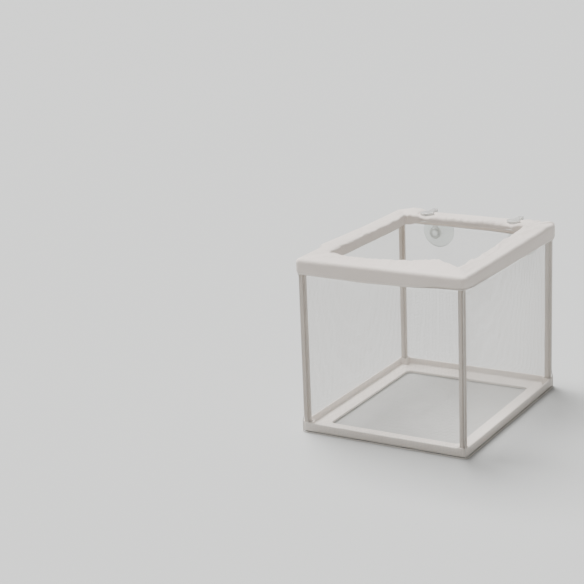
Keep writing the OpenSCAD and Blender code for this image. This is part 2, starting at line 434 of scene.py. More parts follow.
# ---------------------------------------------------------------------------------------
# Geometry trees


class GeometryTree:
    """A geometry node tree with named inputs that is run once on a mesh."""

    def __init__(self, name: str, inputs: dict[str, str]) -> None:
        """Makes the tree and its inputs.

        Args:
            name: the tree's name.
            inputs: the socket type of each named input.
        """
        self.tree = bpy.data.node_groups.new(name, "GeometryNodeTree")
        sockets = self.tree.interface
        sockets.new_socket("Geometry", in_out="OUTPUT", socket_type="NodeSocketGeometry")
        sockets.new_socket("Geometry", in_out="INPUT", socket_type="NodeSocketGeometry")
        self.ids = {
            label: sockets.new_socket(label, in_out="INPUT", socket_type=kind).identifier
            for label, kind in (inputs | {"Material": "NodeSocketMaterial"}).items()}
        self.source = self.tree.nodes.new("NodeGroupInput").outputs

    def add(self, kind: str, inputs: dict | None = None, **settings: object) -> bpy.types.Node:
        """Adds a node to this tree."""
        return add_node(self.tree, kind, inputs, **settings)

    def math(self, operation: str, first: object, second: object) -> bpy.types.NodeSocket:
        """Joins two numbers or sockets by one operation."""
        return self.add("ShaderNodeMath", {0: first, 1: second}, operation=operation).outputs[0]

    def vector(self, x: object, y: object, z: object = 0.0) -> bpy.types.NodeSocket:
        """Makes a vector from three numbers or sockets."""
        return self.add("ShaderNodeCombineXYZ", {0: x, 1: y, 2: z}).outputs[0]

    def close(self, parts: list[bpy.types.NodeSocket]) -> None:
        """Joins the parts, makes them real and smooth, and gives them the material.

        Args:
            parts: the geometry to join.
        """
        join = self.add("GeometryNodeJoinGeometry")
        for part in parts:
            self.tree.links.new(part, join.inputs[0])
        real = self.add("GeometryNodeRealizeInstances", {0: join.outputs[0]})
        soft = self.add("GeometryNodeSetShadeSmooth", {0: real.outputs[0]})
        dressed = self.add("GeometryNodeSetMaterial", {
            0: soft.outputs[0], "Material": self.source["Material"]})
        self.add("NodeGroupOutput", {0: dressed.outputs[0]})

    def run(self, name: str, mesh: bpy.types.Mesh, values: dict[str, object]) -> bpy.types.Object:
        """Runs the tree on a mesh and keeps the result as a plain mesh.

        Args:
            name: the name of the finished piece.
            mesh: the mesh that the tree starts from.
            values: a value for each named input.

        Returns:
            The finished piece.
        """
        piece = new_object(name, mesh)
        modifier = piece.modifiers.new("build", "NODES")
        modifier.node_group = self.tree
        for label, value in values.items():
            modifier[self.ids[label]] = value
        graph = bpy.context.evaluated_depsgraph_get()
        result = bpy.data.meshes.new_from_object(piece.evaluated_get(graph))
        piece.modifiers.remove(modifier)
        piece.data = result
        return piece


class NetTree(GeometryTree):
    """Lays two crossing sets of threads on a cloth surface, cut off at its edges."""

    lift: float = 0.3
    wander: float = 14 * MM
    thread_sides: int = 4

    def __init__(self) -> None:
        """Builds the tree; a thread is a line in the flat cloth, carried on to the surface."""
        number = "NodeSocketFloat"
        super().__init__("net_threads", {
            "Width": number, "Height": number, "Pitch": number, "Thread": number,
            "Segment": number, "Stray": number})
        sets = [self.threads(0, self.lift), self.threads(1, -self.lift)]
        join = self.add("GeometryNodeJoinGeometry")
        for lines in sets:
            self.tree.links.new(lines, join.inputs[0])
        radius = self.math("MULTIPLY", self.source["Thread"], 0.5)
        round_off = self.add("GeometryNodeCurvePrimitiveCircle", {
            "Resolution": self.thread_sides, "Radius": radius})
        solid = self.add("GeometryNodeCurveToMesh", {
            0: join.outputs[0], 1: round_off.outputs[0]})
        self.close([solid.outputs[0]])

    def threads(self, axis: int, lift: float) -> bpy.types.NodeSocket:
        """One set of parallel threads.

        Args:
            axis: 0 for threads that run up the cloth, 1 for threads that run across it.
            lift: how far the set lies off the cloth's middle, in thread thicknesses.

        Returns:
            The threads as curves on the surface.
        """
        across, along = self.source["Width"], self.source["Height"]
        if axis:
            across, along = along, across
        turned = (lambda a, b: self.vector(b, a)) if axis else self.vector
        count = self.math("FLOOR", self.math("DIVIDE", across, self.source["Pitch"]), 0.0)
        first = self.math("MULTIPLY", self.math("SUBTRACT", count, 1.0), -0.5)
        start = self.math("MULTIPLY", first, self.source["Pitch"])
        low = self.math("MULTIPLY", along, -0.5)
        row = self.add("GeometryNodeMeshLine", {
            "Count": count, "Start Location": turned(start, low),
            "Offset": turned(self.source["Pitch"], 0.0)}, mode="OFFSET")
        line = self.add("GeometryNodeCurvePrimitiveLine", {"End": turned(0.0, along)})
        steps = self.math("DIVIDE", along, self.source["Segment"])
        fine = self.add("GeometryNodeResampleCurve", {"Curve": line.outputs[0], "Count": steps})
        copies = self.add("GeometryNodeInstanceOnPoints", {
            "Points": row.outputs[0], "Instance": fine.outputs[0]})
        real = self.add("GeometryNodeRealizeInstances", {0: copies.outputs[0]})

        place = self.add("GeometryNodeInputPosition").outputs[0]
        wander = self.add("ShaderNodeTexNoise", {
            "Vector": place, "Scale": 1 / self.wander, "Detail": 2.0})
        centred = self.add("ShaderNodeVectorMath", {
            0: wander.outputs["Color"], 1: (0.5, 0.5, 0.5)}, operation="SUBTRACT")
        stray = self.add("ShaderNodeVectorMath", {
            0: centred.outputs[0], "Scale": self.source["Stray"]}, operation="SCALE")
        flat = self.add("ShaderNodeVectorMath", {0: place, 1: stray.outputs[0]}, operation="ADD")
        spot = self.sample(self.add("GeometryNodeInputPosition").outputs[0], flat.outputs[0])
        facing = self.sample(self.add("GeometryNodeInputNormal").outputs[0], flat.outputs[0])
        missing = self.add("FunctionNodeBooleanMath", {0: spot.outputs[1]}, operation="NOT")
        kept = self.add("GeometryNodeDeleteGeometry", {
            "Geometry": real.outputs[0], "Selection": missing.outputs[0]}, domain="POINT")
        off = self.add("ShaderNodeVectorMath", {
            0: facing.outputs[0], "Scale": self.math("MULTIPLY", self.source["Thread"], lift)},
            operation="SCALE")
        laid = self.add("GeometryNodeSetPosition", {
            "Geometry": kept.outputs[0], "Position": spot.outputs[0], "Offset": off.outputs[0]})
        return laid.outputs[0]

    def sample(self, value: bpy.types.NodeSocket, flat: bpy.types.NodeSocket) -> bpy.types.Node:
        """Reads a value of the cloth surface at a place in the flat cloth.

        Args:
            value: what is read.
            flat: the place in the flat cloth.

        Returns:
            The sampling node: its value first, then whether it hit the cloth.
        """
        cut = self.add("GeometryNodeInputNamedAttribute", {"Name": CLOTH_UV},
                       data_type="FLOAT_VECTOR")
        return self.add("GeometryNodeSampleUVSurface", {
            "Mesh": self.source["Geometry"], "Value": value, 2: cut.outputs[0], 3: flat},
            data_type="FLOAT_VECTOR")


class SeamTree(GeometryTree):
    """Sweeps a rolled edge along a path and sews overlock loops round it."""

    roll_sides: int = 8
    thread_sides: int = 4
    lean: float = 0.45

    def __init__(self) -> None:
        """Builds the tree; every loop leans a little, as overlock stitches do."""
        number = "NodeSocketFloat"
        super().__init__("overlock_seam", {"Roll": number, "Thread": number, "Spacing": number})
        path = self.add("GeometryNodeMeshToCurve", {0: self.source["Geometry"]})
        edge = self.add("GeometryNodeCurvePrimitiveCircle", {
            "Resolution": self.roll_sides, "Radius": self.source["Roll"]})
        roll = self.add("GeometryNodeCurveToMesh", {
            0: path.outputs[0], 1: edge.outputs[0], "Fill Caps": True})
        loop = self.add("GeometryNodeCurvePrimitiveCircle", {
            "Resolution": self.roll_sides, "Radius": self.source["Roll"]})
        strand = self.add("GeometryNodeCurvePrimitiveCircle", {
            "Resolution": self.thread_sides, "Radius": self.source["Thread"]})
        stitch = self.add("GeometryNodeCurveToMesh", {0: loop.outputs[0], 1: strand.outputs[0]})
        leaning = self.add("GeometryNodeTransform", {
            0: stitch.outputs[0], "Rotation": (self.lean, 0.0, 0.0)})
        spots = self.add("GeometryNodeCurveToPoints", {
            "Curve": path.outputs[0], "Length": self.source["Spacing"]}, mode="LENGTH")
        loops = self.add("GeometryNodeInstanceOnPoints", {
            "Points": spots.outputs[0], "Instance": leaning.outputs[0],
            "Rotation": spots.outputs["Rotation"]})
        self.close([roll.outputs[0], loops.outputs[0]])


class StitchTree(GeometryTree):
    """Sets lockstitches end to end along a path on the cloth."""

    bead_sides: int = 6
    bead_rings: int = 5

    def __init__(self) -> None:
        """Builds the tree; a stitch is a long bead that lies along the path."""
        number = "NodeSocketFloat"
        super().__init__("lockstitches", {"Thread": number, "Length": number, "Spacing": number})
        path = self.add("GeometryNodeMeshToCurve", {0: self.source["Geometry"]})
        spots = self.add("GeometryNodeCurveToPoints", {
            "Curve": path.outputs[0], "Length": self.source["Spacing"]}, mode="LENGTH")
        bead = self.add("GeometryNodeMeshUVSphere", {
            "Segments": self.bead_sides, "Rings": self.bead_rings, "Radius": 1.0})
        half = self.math("MULTIPLY", self.source["Length"], 0.5)
        drawn = self.add("GeometryNodeTransform", {
            0: bead.outputs[0],
            "Scale": self.vector(self.source["Thread"], self.source["Thread"], half)})
        row = self.add("GeometryNodeInstanceOnPoints", {
            "Points": spots.outputs[0], "Instance": drawn.outputs[0],
            "Rotation": spots.outputs["Rotation"]})
        self.close([row.outputs[0]])


# ---------------------------------------------------------------------------------------
# Shapes that the cloth pieces share


@dataclass(frozen=True)
class Outline:
    """Plan outline of the two mouldings, walked side by side from corner to corner."""

    half_w: float
    half_d: float
    mid_y: float
    straight: float = 0.94

    def run(self, side: Side, inset: float, radius: float,
            extra: float = 0.0) -> tuple[float, float]:
        """Half lengths of a side's straight part along it, and of the box across it.

        Args:
            side: the side of the box.
            inset: how far inside the outline.
            radius: the corner radius there.
            extra: how much further inside at the front and the back.

        Returns:
            The half length along the side and the half length across it.
        """
        wide = self.half_w - inset - radius
        deep = self.half_d - inset - extra - radius
        return (deep, wide) if side in (Side.RIGHT, Side.LEFT) else (wide, deep)

    def turn(self, share: float) -> float:
        """Angle round the corner at a share of -1 to 1 along a side."""
        past = max(0.0, abs(share) - self.straight) / (1 - self.straight)
        return math.copysign(past * math.pi / 4, share)

    def at(self, side: Side, share: float, inset: float, radius: float,
           extra: float = 0.0) -> tuple[Vector, Vector]:
        """Point and outward direction in plan.

        Args:
            side: the side of the box.
            share: -1 to 1, from the middle of one corner to the middle of the next.
            inset: how far inside the mouldings' outline.
            radius: the corner radius there.
            extra: how much further inside at the front and the back.

        Returns:
            The point, at height 0, and the outward direction.
        """
        along, across = self.run(side, inset, radius, extra)
        turn = self.turn(share)
        s = max(-1.0, min(1.0, share / self.straight)) * along
        point = Vector((s + radius * math.sin(turn), -across - radius * math.cos(turn), 0.0))
        outward = Vector((math.sin(turn), -math.cos(turn), 0.0))
        quarter = Matrix.Rotation(side.value * math.pi / 2, 3, "Z")
        return quarter @ point + Vector((0.0, self.mid_y, 0.0)), quarter @ outward

    def flat(self, side: Side, share: float, inset: float, radius: float,
             extra: float = 0.0) -> float:
        """Distance along the outline from the side's middle."""
        along, _ = self.run(side, inset, radius, extra)
        return max(-1.0, min(1.0, share / self.straight)) * along + radius * self.turn(share)

    def shares(self, straight_cells: int, corner_cells: int) -> list[float]:
        """Shares along one side, closer together round its corners.

        Args:
            straight_cells: how many cells the straight part has.
            corner_cells: how many cells each half corner has.

        Returns:
            The shares, from -1 to 1.
        """
        half = [self.straight + (1 - self.straight) * i / corner_cells
                for i in range(1, corner_cells + 1)]
        middle = [self.straight * (2 * i / straight_cells - 1)
                  for i in range(straight_cells + 1)]
        return [-s for s in reversed(half)] + middle + half


@dataclass(frozen=True)
class EdgeLine:
    """How one edge of the hem runs along one side.

    Each knot gives a place along the side, a shift towards the middle of the box and a rise,
    all in millimetres. Between knots the edge runs in a smooth curve.
    """

    side: Side
    edge: Edge
    knots: tuple[tuple[float, float, float], ...]
    softness: float = 0.6

    def at(self, along: float) -> tuple[float, float]:
        """Shift and rise, in metres, at a place along the side.

        Args:
            along: the place, in metres from the side's middle.

        Returns:
            The shift and the rise there.
        """
        place = along / MM
        if place <= self.knots[0][0]:
            return self.knots[0][1] * MM, self.knots[0][2] * MM
        for (start, *first), (end, *last) in zip(self.knots, self.knots[1:]):
            if place <= end:
                even = (place - start) / (end - start)
                t = smooth(even) * self.softness + (1 - self.softness) * even
                return tuple((f + (e - f) * t) * MM for f, e in zip(first, last))
        return self.knots[-1][1] * MM, self.knots[-1][2] * MM


@dataclass(frozen=True)
class BagShape:
    """How far the bag stands from the mouldings' outline at each height.

    It lies on both mouldings' lips, and between them it is drawn in to the posts.
    """

    outline: Outline
    foot_z: float
    base_lip_z: float
    rim_lip_z: float
    seam_z: float
    post_inset: float
    proud: float = 0.5 * MM
    hem_proud: float = 0.9 * MM
    fall: float = 5.5 * MM
    waist: float = 1.5 * MM
    lip_radius: float = 4.1 * MM
    post_radius: float = 2.9 * MM
    post_gap: float = 0.28 * MM
    seam_wave: float = 0.35 * MM
    wave_length: float = 22 * MM
    wave_layer: float = 3.7
    heads: tuple[EdgeLine, ...] = (
        EdgeLine(Side.FRONT, Edge.LOWER, (
            (-64, 0, -0.6), (-37, 0, -0.8), (-13, 0, -1.3), (17, 0, -0.6), (47, 0, 1.2),
            (64, 0, 1.9))),
        EdgeLine(Side.RIGHT, Edge.LOWER, (
            (-81, 0, 1.9), (-66, 0, 0.5), (-42, 0, 0), (-6, 0, -0.4), (31, 0, -1.0),
            (81, 0, -2.0))),
        EdgeLine(Side.BACK, Edge.LOWER, ((-64, 0, -2.0), (0, 0, -0.5), (64, 0, 0))),
        EdgeLine(Side.LEFT, Edge.LOWER, ((-81, 0, 0), (0, 0, 0.3), (81, 0, -0.6))),
    )

    def low(self, z: float) -> float:
        """1 where the bag lies on the lower lip, 0 above it."""
        return 1 - smooth((z - self.base_lip_z) / self.fall)

    def high(self, z: float) -> float:
        """1 where the cloth lies on the upper lip, 0 below it."""
        return smooth((z - self.rim_lip_z + self.fall) / self.fall)

    def inset(self, z: float, share: float) -> float:
        """How far inside the outline the cloth is, at a height and a share of a side.

        Args:
            z: the height.
            share: the share along the side.

        Returns:
            The distance, below 0 where the cloth stands outside.
        """
        low, high = self.low(z), self.high(z)
        rise = (z - self.base_lip_z) / (self.rim_lip_z - self.base_lip_z)
        bow = math.sin(math.pi * min(1.0, max(0.0, rise))) * (1 - share ** 4)
        held = self.post_inset - self.post_gap
        return (held * (1 - low - high) - self.proud * low - self.hem_proud * high
                + self.waist * bow)

    def radius(self, z: float) -> float:
        """Corner radius of the cloth at a height."""
        snug = self.low(z) + self.high(z)
        return self.post_radius + (self.lip_radius - self.post_radius) * snug

    def head(self, side: Side, share: float) -> float:
        """Height of the seam between net and hem, which waves a little.

        Args:
            side: the side of the box.
            share: the share along it.

        Returns:
            The height.
        """
        place, _ = self.outline.at(side, share, 0.0, self.lip_radius)
        _, rise = self.heads[side.value].at(
            self.outline.flat(side, share, 0.0, self.lip_radius))
        return self.seam_z + rise + self.seam_wave * ripple(
            place.x, place.y, self.wave_layer, self.wave_length)

    def point(self, side: Side, share: float, z: float, proud: float = 0.0) -> Vector:
        """A point of the bag's wall, moved outwards by proud.

        Args:
            side: the side of the box.
            share: the share along it.
            z: the height.
            proud: how far outside the wall.

        Returns:
            The point.
        """
        inset = self.inset(z, share) - proud
        place, _ = self.outline.at(side, share, inset, self.radius(z) + proud)
        return Vector((place.x, place.y, z))


# ---------------------------------------------------------------------------------------
# The net bag and its seams


@dataclass
class NetBag:
    """The five net panels, each of threads laid on its own shaped surface."""

    shape: BagShape
    pitch: float = 1.05 * MM
    thread: float = 0.15 * MM
    segment: float = 2.2 * MM
    stray: float = 0.9 * MM
    rows: int = 46
    straight_cells: int = 40
    corner_cells: int = 5
    ground_gap: float = 0.3 * MM
    floor_wave: float = 0.35 * MM
    floor_wave_length: float = 24 * MM
    floor_wave_layer: float = 9.1
    floor_cells: int = 48
    tree: NetTree = field(default_factory=NetTree)

    def build(self, material: bpy.types.Material) -> None:
        """Builds all five panels.

        Args:
            material: the net's finish.
        """
        for side in Side:
            surface, width, height = self.wall(side)
            self.panel(f"net_{side.name.lower()}", surface, width, height,
                       material)
        surface, width, height = self.floor()
        self.panel("net_floor", surface, width, height, material)

    def panel(self, node: str, surface: bpy.types.Mesh, width: float, height: float,
              material: bpy.types.Material) -> None:
        """Lays the threads of one panel and stands it in for its CAD node.

        Args:
            node: the CAD node's name.
            surface: the panel's shape, with its flat cut as a UV map.
            width: the flat cut's width.
            height: the flat cut's height.
            material: the net's finish.
        """
        piece = self.tree.run(f"{node}_threads", surface, {
            "Width": width, "Height": height, "Pitch": self.pitch, "Thread": self.thread,
            "Segment": self.segment, "Stray": self.stray, "Material": material})
        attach(piece, "box")
        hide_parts(node)
        log.info("%s: %d faces", piece.name, len(piece.data.polygons))

    def wall(self, side: Side) -> tuple[bpy.types.Mesh, float, float]:
        """Surface of one wall, with its flat width and height.

        Args:
            side: the side of the box.

        Returns:
            The surface, and its flat cut's width and height.
        """
        shape, outline = self.shape, self.shape.outline
        shares = outline.shares(self.straight_cells, self.corner_cells)
        points, cuts = [], []
        middle = (shape.seam_z + shape.foot_z) / 2
        cut_inset, cut_radius = shape.inset(middle, 1.0), shape.radius(middle)
        for row in range(self.rows + 1):
            for share in shares:
                z = shape.foot_z + (shape.head(side, share) - shape.foot_z) * row / self.rows
                points.append(shape.point(side, share, z))
                cuts.append((outline.flat(side, share, cut_inset, cut_radius), z - middle))
        width = 2 * outline.flat(side, 1.0, cut_inset, cut_radius)
        mesh = cloth_grid(f"{side.name.lower()}_wall", points, cuts, len(shares), closed=False)
        return mesh, width, shape.seam_z - shape.foot_z

    def floor(self) -> tuple[bpy.types.Mesh, float, float]:
        """Surface of the bag's floor, with its flat width and depth.

        Returns:
            The surface, and its flat cut's width and depth.
        """
        outline, radius = self.shape.outline, self.shape.lip_radius
        half_w, half_d = outline.half_w, outline.half_d
        cells = self.floor_cells
        points, cuts = [], []
        for i in range(cells + 1):
            y = half_d * (2 * i / cells - 1)
            into = max(0.0, abs(y) - (half_d - radius))
            half = half_w - radius + math.sqrt(max(0.0, radius ** 2 - into ** 2))
            for j in range(cells + 1):
                x = half * (2 * j / cells - 1)
                wave = self.floor_wave * abs(ripple(
                    x, y, self.floor_wave_layer, self.floor_wave_length))
                points.append(Vector((x, y + outline.mid_y, self.ground_gap + wave)))
                cuts.append((x, y))
        mesh = cloth_grid("bag_floor", points, cuts, cells + 1, closed=False)
        return mesh, 2 * half_w, 2 * half_d


def path_lengths(points: list[Vector]) -> list[float]:
    """Distance of each point from the first along their line.

    Args:
        points: the line's points, in order.

    Returns:
        A distance for each point, in metres.
    """
    total = [0.0]
    for first, second in zip(points, points[1:]):
        total.append(total[-1] + (second - first).length)
    return total


def cloth_grid(name: str, points: list[Vector], cuts: list[tuple[float, float]], columns: int,
               closed: bool) -> bpy.types.Mesh:
    """Makes a mesh of quads from rows of points, with the flat cut as its UV map.

    Args:
        name: the mesh's name.
        points: the points, row after row.
        cuts: where each point lies in the flat cloth, in metres.
        columns: how many points a row has.
        closed: whether a row's last point joins its first.

    Returns:
        The mesh.
    """
    rows = len(points) // columns
    faces = []
    for r in range(rows - 1):
        for c in range(columns if closed else columns - 1):
            d = (c + 1) % columns
            faces.append((r * columns + c, r * columns + d,
                          (r + 1) * columns + d, (r + 1) * columns + c))
    mesh = new_mesh(name, points, [], faces)
    layer = mesh.uv_layers.new(name=CLOTH_UV)
    lap = max(cut[0] for cut in cuts) - min(cut[0] for cut in cuts)
    for polygon in mesh.polygons:
        corners = [cuts[mesh.loops[i].vertex_index] for i in polygon.loop_indices]
        wraps = closed and max(u for u, _ in corners) - min(u for u, _ in corners) > lap / 2
        for i, (u, v) in zip(polygon.loop_indices, corners):
            layer.data[i].uv = (u + lap if wraps and u < lap / 2 else u, v)
    mesh.polygons.foreach_set("use_smooth", [True] * len(mesh.polygons))
    return mesh


@dataclass
class BagSeams:
    """Rolled and overlocked seams: four corners, the head and the floor."""

    shape: BagShape
    roll: float = 0.3 * MM
    thread: float = 0.09 * MM
    spacing: float = 1.5 * MM
    steps: int = 60
    corner_steps: int = 6
    tree: SeamTree = field(default_factory=SeamTree)

    def build(self, material: bpy.types.Material) -> None:
        """Builds all six seams and stands them in for their CAD nodes.

        Args:
            material: the thread's finish.
        """
        corners = {"front_right": Side.FRONT, "back_right": Side.RIGHT,
                   "back_left": Side.BACK, "front_left": Side.LEFT}
        for name, side in corners.items():
            self.sew(f"seam_{name}", self.corner(side), False, material)
        self.sew("seam_head", self.ring(self.shape.head), True, material)
        self.sew("seam_floor", self.ring(lambda side, share: self.roll + self.thread), True,
                 material)

    def corner(self, side: Side) -> list[Vector]:
        """Path of the seam at the end of a side, from the floor to the head.

        Args:
            side: the side of the box.

        Returns:
            The path's points.
        """
        top = self.shape.head(side, 1.0)
        heights = [self.shape.foot_z + (top - self.shape.foot_z) * i / self.steps
                   for i in range(self.steps + 1)]
        return [self.shape.point(side, 1.0, z, self.roll / 2) for z in heights]

    def ring(self, height: Callable[[Side, float], float]) -> list[Vector]:
        """Path of a seam round the bag, at the height that a function gives.

        Args:
            height: gives the height at a share of a side.

        Returns:
            The path's points.
        """
        shares = self.shape.outline.shares(self.steps, self.corner_steps)[:-1]
        return [self.shape.point(side, share, height(side, share), self.roll / 2)
                for side in Side for share in shares]

    def sew(self, node: str, path: list[Vector], closed: bool,
            material: bpy.types.Material) -> None:
        """Builds one seam along its path.

        Args:
            node: the CAD node's name.
            path: the points that it follows.
            closed: whether it runs all the way round.
            material: the thread's finish.
        """
        piece = self.tree.run(f"{node}_stitched", path_mesh(node, path, closed), {
            "Roll": self.roll, "Thread": self.thread, "Spacing": self.spacing,
            "Material": material})
        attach(piece, "box")
        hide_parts(node)
        log.info("%s: %d faces", piece.name, len(piece.data.polygons))


# ---------------------------------------------------------------------------------------
# The hem


@dataclass(frozen=True)
class InnerEdge:
    """Rounding of the hem's inner edge, and height and radius of its tunnel on one side."""

    edge_r: float = 1.5 * MM
    roll_z: float = 123.5 * MM
    roll_r: float = 1.0 * MM


@dataclass(frozen=True)
class SectionRow:
    """One row of the band's section.

    It holds the row's inset and height, how far it goes inwards with the wider front and back
    rails, and how much of the inner edge's shift, the inner edge's rise and the outer edge's
    line it takes.
    """

    inset: float
    z: float
    wide: float
    shift: float
    rise: float
    outer: float


@dataclass(frozen=True)
class Wrinkles:
    """Heights and lengths of the wrinkles on the top of the band.

    A layer picks a noise pattern of its own. The sharper a crease, the narrower its ridge. The
    wrinkles are lowest along the outer edge, where outer_share of their height is left.
    """

    lengthwise_run: float = 34 * MM
    lengthwise_width: float = 5 * MM
    lengthwise_height: float = 0.55 * MM
    lengthwise_sharpness: int = 6
    crosswise_width: float = 7 * MM
    crosswise_run: float = 16 * MM
    crosswise_height: float = 0.6 * MM
    crosswise_sharpness: int = 5
    soft_length: float = 12 * MM
    soft_height: float = 0.45 * MM
    soft_layer: float = 1.3
    fine_length: float = 4.5 * MM
    fine_height: float = 0.22 * MM
    fine_layer: float = 5.9
    bunched_length: float = 6 * MM
    bunched_height: float = 1.1 * MM
    bunched_share: float = 0.13
    bunched_layer: float = 8.3
    side_step: float = 11.0
    crosswise_step: float = 5
    corner_fade: float = 0.1
    outer_share: float = 0.25
    inward_rate: float = 1.6


@dataclass
class Hem:
    """The cloth band over the upper rail, with its elastic and two rows of lockstitches.

    Its section runs up the face, round the shoulder, over the top, round the inner edge, down
    the skirt and round the tunnel. Each side has its own inner edge up to own_until of its
    half length, and all sides agree at the corners.
    """

    shape: BagShape
    top_z: float
    cross_extra: float
    button_spots: list[Vector]
    button_r: float
    hole_r: float = 2.3 * MM
    cloth: float = 0.5 * MM
    shoulder_r: float = 2.6 * MM
    edge_inset: float = 13.15 * MM
    inner_radius: float = 2.8 * MM
    elastic_r: float = 0.45 * MM
    own_until: float = 0.72
    own_fade: float = 0.22
    face_still: float = 0.2
    inner_power: float = 1.2
    outer_fade: float = 1.3
    tunnel_rise: float = 0.25
    tuck_in: float = 0.75
    tuck_up: float = 0.9
    hole_reach: float = 2.2
    cover_share: float = 0.5
    roof: float = 1 * MM
    button_fade: float = 3 * MM
    strap_half: float = 2.4 * MM
    strap_fade: float = 2.5 * MM
    pucker: float = 0.6 * MM
    pucker_straight: float = 0.35
    pucker_corner: float = 0.9
    corner_share: float = 0.09
    gather_scale: float = 2.4
    face_crease: float = 0.5
    gather_length: float = 6 * MM
    gather_rise: float = 9 * MM
    seam_fade: float = 3 * MM
    least_radius: float = 1.5 * MM
    stitch_thread: float = 0.14 * MM
    stitch_length: float = 2.1 * MM
    stitch_spacing: float = 2.6 * MM
    stitch_lift: float = 0.08 * MM
    straight_cells: int = 124
    corner_cells: int = 9
    face_rows: int = 10
    shoulder_rows: int = 7
    top_rows: int = 16
    edge_rows: int = 6
    skirt_rows: int = 6
    roll_rows: int = 8
    edge_stitch_row: int = 2
    wrinkles: Wrinkles = Wrinkles()
    corner_edge: InnerEdge = InnerEdge()
    edges: dict[Side, InnerEdge] = field(default_factory=lambda: {
        Side.FRONT: InnerEdge(), Side.RIGHT: InnerEdge(),
        Side.BACK: InnerEdge(2.6 * MM, 126.2 * MM, 0.7 * MM),
        Side.LEFT: InnerEdge(1.7 * MM, 123.4 * MM)})
    lines: tuple[EdgeLine, ...] = (
        EdgeLine(Side.FRONT, Edge.INNER, (
            (-51.5, 3.0, 0.4), (-46, 3.4, 0.5), (-39, 1.4, 0.3), (-31, 0, 0.1), (-17, 0.3, 0.1),
            (-7, 0.9, 0.3), (4.5, 1.8, 0.5), (14.5, 3.2, 1.1), (22, 4.4, 1.8), (30, 5.6, 2.7),
            (40.5, 6.6, 3.5), (42.2, 5.6, 2.9), (44.4, 3.9, 2.2), (47.6, 3.4, 2.0),
            (49.8, 2.0, 1.6), (51.5, 0.3, 1.0))),
        EdgeLine(Side.RIGHT, Edge.INNER, (
            (-64, 0.3, 1.0), (-58, -0.1, 0.6), (-52, 0.2, 0.5), (-44, 1.0, 0.6), (-41, 1.2, 0.5),
            (-37.5, 0.2, 0.1), (-32.4, 0, 0), (-3.4, 0.5, 0.1), (20, 1.5, 0.3),
            (52, 2.2, 0.5), (60, 2.6, 0.4), (64, 1.5, 0.2))),
        EdgeLine(Side.RIGHT, Edge.OUTER, (
            (-76, 0, 0), (-40, -0.4, 0.2), (20, 0.1, 0.1), (56, -0.3, 0.5), (66, -0.4, 1.3),
            (72, -0.2, 0.4), (78, 0, 0))),
        EdgeLine(Side.BACK, Edge.OUTER, (
            (-66, -0.1, 1.0), (-60, -0.1, 0.6), (-57, 0.2, -0.5), (-52.5, 0, 0.9),
            (-50, 0.1, 0.3), (-46, 0, 1.1), (-41, 0, 0.1), (40, 0, 0), (42.5, 0, 0.8),
            (46, -0.1, 1.9), (53, -0.1, 2.1), (58, 0, 0.9), (63, 0, 0))),
        EdgeLine(Side.BACK, Edge.INNER, (
            (-51.5, 1.6, 0.2), (-36, 1.7, 0.1), (-27, 1.2, 0.1), (0, 1.0, 0), (27, 1.2, 0.1),
            (36, 1.7, 0.1), (51.5, 1.6, 0))),
        EdgeLine(Side.LEFT, Edge.OUTER, (
            (-28, 0, 0), (0.7, -0.9, 0.3), (30, -1.7, 0.6), (40.5, -2.1, 0.9), (43, -0.3, 0.1),
            (52, 0, 0))),
        EdgeLine(Side.LEFT, Edge.INNER, (
            (-64, 1.0, 0), (-58, 2.0, 0.1), (-49, 3.0, 0.1), (-38, 2.6, 0), (-13.5, 2.2, 0.1),
            (15.4, 1.6, 0), (42.7, 1.0, 0), (57, 1.4, 0.2), (64, 3.0, 0.4))),
    )
    grid: list[list[Vector]] = field(default_factory=list)

    def inner_edge(self, side: Side, share: float) -> InnerEdge:
        """Inner edge at a share of a side; near the corners all sides agree.

        Args:
            side: the side of the box.
            share: the share along it.

        Returns:
            The inner edge there.
        """
        own = 1 - smooth((abs(share) - self.own_until) / self.own_fade)
        here, corner = self.edges[side], self.corner_edge
        return InnerEdge(corner.edge_r + (here.edge_r - corner.edge_r) * own,
                         corner.roll_z + (here.roll_z - corner.roll_z) * own,
                         corner.roll_r + (here.roll_r - corner.roll_r) * own)

    def section(self, edge: InnerEdge) -> list[SectionRow]:
        """The band's section from the seam over the rail to the tunnel.

        Args:
            edge: the inner edge at that place.

        Returns:
            The section's rows.
        """
        rows = []
        centre_z = self.top_z - self.shoulder_r
        for i in range(self.face_rows + 1):
            t = i / self.face_rows
            z = self.shape.seam_z + (centre_z - self.shape.seam_z) * t
            rows.append(SectionRow(self.shape.inset(z, 1.0), z, 0, 0, 0,
                                   smooth((t - self.face_still) / (1 - self.face_still))))
        centre = self.shoulder_r - self.shape.hem_proud
        for i in range(1, self.shoulder_rows + 1):
            a = math.pi / 2 * i / self.shoulder_rows
            rows.append(SectionRow(centre - self.shoulder_r * math.cos(a),
                                   centre_z + self.shoulder_r * math.sin(a), 0, 0, 0, 1))
        end = self.edge_inset - edge.edge_r
        for i in range(1, self.top_rows + 1):
            t = i / self.top_rows
            rows.append(SectionRow(centre + (end - centre) * t, self.top_z, t,
                                   smooth(t) ** self.inner_power,
                                   smooth(t) ** self.inner_power,
                                   1 - smooth(t * self.outer_fade)))
        for i in range(1, self.edge_rows + 1):
            a = math.pi / 2 * i / self.edge_rows
            rows.append(SectionRow(end + edge.edge_r * math.sin(a),
                                   self.top_z - edge.edge_r * (1 - math.cos(a)), 1, 1, 1, 0))
        skirt_top = self.top_z - edge.edge_r
        for i in range(1, self.skirt_rows + 1):
            t = i / self.skirt_rows
            rows.append(SectionRow(self.edge_inset, skirt_top + (edge.roll_z - skirt_top) * t,
                                   1, 1, 1 - (1 - self.tunnel_rise) * t, 0))
        middle = self.edge_inset - edge.roll_r
        for i in range(1, self.roll_rows + 1):
